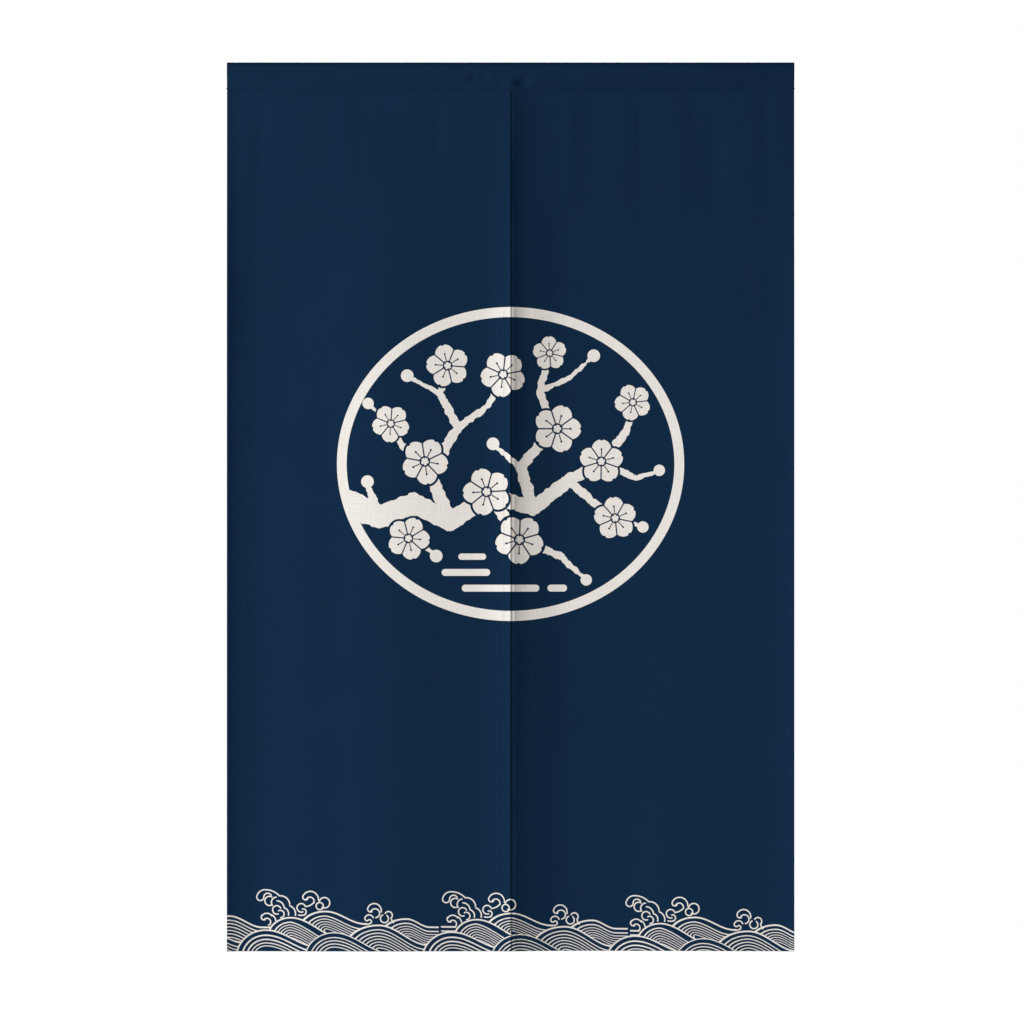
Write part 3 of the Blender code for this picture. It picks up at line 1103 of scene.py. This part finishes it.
# Sleeve: one strip folded over the rod, its two feet turned in and closed over the panels' top

sleeveSettings = {
    "rollRadius": 0.0110,
    "footHalf": 0.0015,         # half of the closed foot's thickness
    "footTurn": 0.0060,         # cloth turned in at each foot
    "footRoll": 0.00056,
    "lapRoom": 0.0007,          # the foot is thicker where the two panels lap inside it
    "trim": 0.0075,             # the side hem is cut away this far above the foot, to keep the corner thin
    "creaseDown": 0.0105,       # a soft crease under the top of the roll
    "creaseDepth": 0.0005,
    "creaseHalf": 0.0016,
    "fineSize": 0.013,          # small unevenness over the foot
    "fineDepth": 0.00035,
    "lapWide": 0.022,
    "step": 0.005,              # between points of the cloth
    "wallStep": 0.0026,
}
# soft puckers of the sleeve's front; middle and reach are shares of the wall, from the roll to the foot
Pucker = namedtuple("Pucker", "x width middle reach depth")
sleevePuckers = (
    Pucker(-0.372, 0.034, 0.50, 0.50, -0.0008),
    Pucker(-0.240, 0.040, 0.50, 0.50, 0.0006),
    Pucker(-0.118, 0.030, 0.50, 0.50, -0.0007),
    Pucker(-0.0590, 0.0120, 0.42, 0.32, -0.0024),
    Pucker(-0.0420, 0.0100, 0.34, 0.26, -0.0018),
    Pucker(0.0000, 0.0150, 0.66, 0.50, 0.0018),
    Pucker(0.0200, 0.0170, 0.60, 0.46, -0.0036),
    Pucker(0.0480, 0.0160, 0.50, 0.45, 0.0006),
    Pucker(0.118, 0.038, 0.50, 0.50, 0.0007),
    Pucker(0.186, 0.012, 0.30, 0.28, -0.0009),
    Pucker(0.202, 0.030, 0.50, 0.50, -0.0008),
    Pucker(0.262, 0.013, 0.34, 0.30, -0.0009),
    Pucker(0.286, 0.034, 0.50, 0.50, -0.0011),
    Pucker(0.352, 0.030, 0.50, 0.50, 0.0008),
    Pucker(0.410, 0.026, 0.50, 0.50, -0.0011),
)


def sleeveShape():
    # the angle at which a wall leaves the roll, the length round the roll up to there, and the wall's length
    radius, foot = sleeveSettings["rollRadius"], sleeveSettings["footHalf"]
    fall = sleeveDrop - radius
    reach = math.hypot(foot, fall)
    turn = math.atan2(-fall, foot) + math.acos(radius / reach)
    return turn, radius * (math.pi / 2 - turn), math.sqrt(reach ** 2 - radius ** 2)


def sleeveSection(place):
    # place runs from the front's foot over the roll to the back's foot, 0 at the top
    radius, foot = sleeveSettings["rollRadius"], sleeveSettings["footHalf"]
    turn, arc, wall = sleeveShape()
    side = -1.0 if place < 0 else 1.0
    along = abs(place)
    if along < arc:
        angle = math.pi / 2 - along / radius
        y, z = radius * math.cos(angle), radius * math.sin(angle) - radius
        inward = (-math.cos(angle), -math.sin(angle))
        share = 0.0
    else:
        share = (along - arc) / wall
        startY, startZ = radius * math.cos(turn), radius * math.sin(turn) - radius
        y = startY + (foot - startY) * share
        z = startZ + (-sleeveDrop - startZ) * share
        inward = (-math.cos(turn), -math.sin(turn))
    return side * y, z, side * inward[0], inward[1], share


def sleeveHalfLength():
    return sum(sleeveShape()[1:])


def sleevePoint(x, place, depth):
    # the sleeve's outside at a place across it, or a point depth inside that
    s = sleeveSettings
    y, z, inY, inZ, share = sleeveSection(place)
    y -= forward("left" if x < 0 else "right", x, sleeveDrop, mainFolds + smallFolds) * share ** 2
    if place < 0:
        for p in sleevePuckers:
            here = foldShape("swell", (x - p.x) / p.width) * foldShape("swell", (share - p.middle) / p.reach)
            y -= p.depth * here
        fine = noise.noise(Vector((x / s["fineSize"], 4.4, 1.0))) * s["fineDepth"]
        y -= fine * eased(share, 0.35, 0.9) * (1.0 - eased(share, 0.93, 1.0))
        y += s["creaseDepth"] * math.exp(-((z + s["creaseDown"]) / s["creaseHalf"]) ** 2)
    else:
        y += s["lapRoom"] * foldShape("swell", x / s["lapWide"]) * eased(share, 0.55, 0.80)
    return x, y + inY * depth, z + inZ * depth


def makeSleeve():
    s = sleeveSettings
    roll = hem["roll"]
    half = sleeveHalfLength()
    endX = width / 2
    footRoll = s["footRoll"]
    past = hemPlaces(endX, roll, hem["side"])
    flat = evenly(-(endX - roll), endX - roll, s["step"])
    acrossPlaces = [-u for u in reversed(past)] + flat[1:] + past
    feet = hemPlaces(half, footRoll, s["footTurn"])
    flat = evenly(-(half - footRoll), half - footRoll, s["wallStep"])
    downPlaces = [-t for t in reversed(feet)] + flat[1:] + feet
    bm, table = gridSheet(len(acrossPlaces), len(downPlaces))
    uvs = {}
    doomed = []
    for (column, row), vert in table.items():
        u, t = acrossPlaces[column], downPlaces[row]
        x, lift = turned(abs(u), endX, roll)
        x = math.copysign(x, u)
        place, depth = turned(abs(t), half, footRoll, lift)
        vert.co = sleevePoint(x, math.copysign(place, t), depth)
        uvs[vert] = (u, t)
        if abs(u) > endX + math.pi * roll * hem["trimTurn"] and abs(t) > half - s["trim"]:
            doomed.append(vert)
    top = table[len(acrossPlaces) // 2, len(downPlaces) // 2].link_faces[0]
    piece = finishMesh("sleeveCloth", bm, uvs, doomed, top, (0, 0, 1))
    return piece, (acrossPlaces[-1] - acrossPlaces[0], downPlaces[-1] - downPlaces[0])


# Stitches: short threads of one seam after another, set along the hems and the sleeve's foot

stitchSettings = {
    "length": 0.0029,
    "every": 0.0036,
    "thickness": 0.00036,
    "uneven": 0.10,         # how far a stitch's size varies
    "seed": 5,
    "proud": 0.00003,       # how far a stitch's middle stands before the cloth
    "pathStep": 0.004,
    "start": 0.0012,        # below the sleeve, and above the foot's edge
    "slitStart": 0.0100,
    "sleeveIn": 0.0022,     # from the sleeve's foot
    # the thread's colour is partly painted sheen, lifted above the cloth's navy; the second, lighter colour
    # is painted sheen flecked along the twist
    "colour": (0.0034, 0.0250, 0.0680),
    "sheenColour": (0.0060, 0.0360, 0.0900),
    "roughness": 0.62,
    "shine": 0.3,
    "sheenFleckScale": 2600.0,
    "sides": 6,
    "rings": 4,
}


def makeThread():
    # dyed thread, painted a little lighter than the cloth's navy to stand in for its sheen, and flecked along
    # its twist with a still lighter colour of painted sheen
    s = stitchSettings
    material = bpy.data.materials.new("navyThread")
    material.use_nodes = True
    tree = material.node_tree
    shader = tree.nodes["Principled BSDF"]
    place = Signal(tree, tree.nodes.new("ShaderNodeTexCoord").outputs["Object"])
    sheenFlecks = addNode(tree, "ShaderNodeTexNoise", {"Vector": place, "Scale": s["sheenFleckScale"]})[0]
    share = softStep(sheenFlecks, 0.35, 0.65)
    plug(shader.inputs["Base Color"], mixColours(share, s["colour"], s["sheenColour"]))
    plug(shader.inputs["Roughness"], share * 0.1 + s["roughness"])
    plug(shader.inputs["Specular IOR Level"], s["shine"])
    return material


def makeStitchTree():
    # a path's edges become a curve, with a stitch on each of its even places, laid along it
    tree = bpy.data.node_groups.new("stitchesOnPath", "GeometryNodeTree")
    tree.interface.new_socket("Geometry", in_out="INPUT", socket_type="NodeSocketGeometry")
    for label in ("Length", "Every", "Thickness", "Uneven"):
        tree.interface.new_socket(label, in_out="INPUT", socket_type="NodeSocketFloat")
    tree.interface.new_socket("Seed", in_out="INPUT", socket_type="NodeSocketInt")
    tree.interface.new_socket("Thread", in_out="INPUT", socket_type="NodeSocketMaterial")
    tree.interface.new_socket("Geometry", in_out="OUTPUT", socket_type="NodeSocketGeometry")

    given = addNode(tree, "NodeGroupInput", {})[:7]
    geometry, length, every, thickness, uneven, seed, thread = given
    curve = addNode(tree, "GeometryNodeMeshToCurve", {"Mesh": geometry})[0]
    places = addNode(tree, "GeometryNodeCurveToPoints", {"Curve": curve, "Length": every}, mode="LENGTH")
    points, tangent, normal, rotation = places
    sides, rings = stitchSettings["sides"], stitchSettings["rings"]
    ball = addNode(tree, "GeometryNodeMeshUVSphere", {"Segments": sides, "Rings": rings, "Radius": 0.5})[0]
    size = addNode(tree, "ShaderNodeCombineXYZ", {"X": thickness, "Y": thickness, "Z": length})[0]
    stitch = addNode(tree, "GeometryNodeTransform", {"Geometry": ball, "Scale": size})[0]
    least = addMaths(tree, "SUBTRACT", 1.0, uneven)
    most = addMaths(tree, "ADD", 1.0, uneven)
    vary = addNode(tree, "FunctionNodeRandomValue", {2: least, 3: most, "Seed": seed}, data_type="FLOAT")[1]
    spread = addNode(tree, "GeometryNodeInstanceOnPoints", {
        "Points": points,
        "Instance": stitch,
        "Rotation": rotation,
        "Scale": vary,
    })[0]
    real = addNode(tree, "GeometryNodeRealizeInstances", {"Geometry": spread})[0]
    smooth = addNode(tree, "GeometryNodeSetShadeSmooth", {"Geometry": real})[0]
    dyed = addNode(tree, "GeometryNodeSetMaterial", {"Geometry": smooth, "Material": thread})[0]
    addNode(tree, "NodeGroupOutput", {"Geometry": dyed})
    return tree


def between(start, end):
    count = max(2, math.ceil(abs(end - start) / stitchSettings["pathStep"]))
    return [start + (end - start) * i / count for i in range(count + 1)]


def panelSeams(panel):
    # the lines of stitches on one panel, before its front and behind its hems
    s = stitchSettings
    side = -1.0 if panel == "left" else 1.0
    proud = s["proud"]

    def beside(x, down, behind):
        return (x, panelFront(panel, x, down) + behind, -down)

    outerX = side * (width / 2 - hem["stitchIn"])
    slitX = side * (hem["stitchIn"] - panelSettings["lap"][panel])
    footDown = drop - hem["footStitchIn"]
    hemTop = drop - hem["foot"] - s["start"]
    paths = []
    for x, begins in ((outerX, sleeveDrop + s["start"]), (slitX, sleeveDrop + s["slitStart"])):
        paths.append([beside(x, d, -proud) for d in between(begins, drop - s["start"])])
        paths.append([beside(x, d, 2 * hem["roll"] + proud) for d in between(begins, hemTop)])
    footEnds = side * (width / 2 - s["start"]), side * (s["start"] - panelSettings["lap"][panel])
    acrossFoot = between(*footEnds)
    paths.append([beside(x, footDown, -proud) for x in acrossFoot])
    paths.append([beside(x, footDown, 2 * footHemRoll(panel, x) + proud) for x in acrossFoot])
    return paths


def sleeveSeams():
    s = stitchSettings
    place = sleeveHalfLength() - s["sleeveIn"]
    across = between(-(width / 2 - s["start"]), width / 2 - s["start"])
    return [[sleevePoint(x, end, -s["proud"]) for x in across] for end in (-place, place)]


def makeStitches(name, paths, tree, thread):
    s = stitchSettings
    points, edges = [], []
    for path in paths:
        edges += [(len(points) + i, len(points) + i + 1) for i in range(len(path) - 1)]
        points += path
    mesh = bpy.data.meshes.new(name)
    mesh.from_pydata(points, edges, [])
    piece = bpy.data.objects.new(name, mesh)
    bpy.context.scene.collection.objects.link(piece)
    sew = piece.modifiers.new("sew", "NODES")
    sew.node_group = tree
    values = {
        "Length": s["length"],
        "Every": s["every"],
        "Thickness": s["thickness"],
        "Uneven": s["uneven"],
        "Seed": s["seed"],
        "Thread": thread,
    }
    for item in tree.interface.items_tree:
        if item.in_out == "INPUT" and item.name in values:
            sew[item.identifier] = values[item.name]
    applyModifiers(piece)
    print(name, len(piece.data.polygons), "faces")
    return piece


def finishSheet(piece, flatSize, node, stitches, bands):
    solidify(piece, hem["thick"], fronts + backs)
    addBakeMap(piece, bands)
    for part in (piece, stitches):
        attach(part, "root")
    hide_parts(node)
    print(piece.name, "cut", [round(v, 3) for v in flatSize], len(piece.data.polygons), "faces")


stitchTree = makeStitchTree()
thread = makeThread()
sleeve, sleeveFlat = makeSleeve()
sleeveStitches = makeStitches("sleeveStitches", sleeveSeams(), stitchTree, thread)
finishSheet(sleeve, sleeveFlat, "heading", sleeveStitches, [])
panelBands = [
    (borderPrint["zoneUp"] - drop, bakeMap["borderTop"]),
    (-ringPrint["middleDown"] - ringZoneHalf, bakeMap["ringFoot"]),
    (-ringPrint["middleDown"] + ringZoneHalf, bakeMap["ringTop"]),
]
for panel in ("left", "right"):
    piece, flatSize = makePanel(panel)
    stitches = makeStitches(panel + "Stitches", panelSeams(panel), stitchTree, thread)
    finishSheet(piece, flatSize, "panel_" + panel, stitches, panelBands)
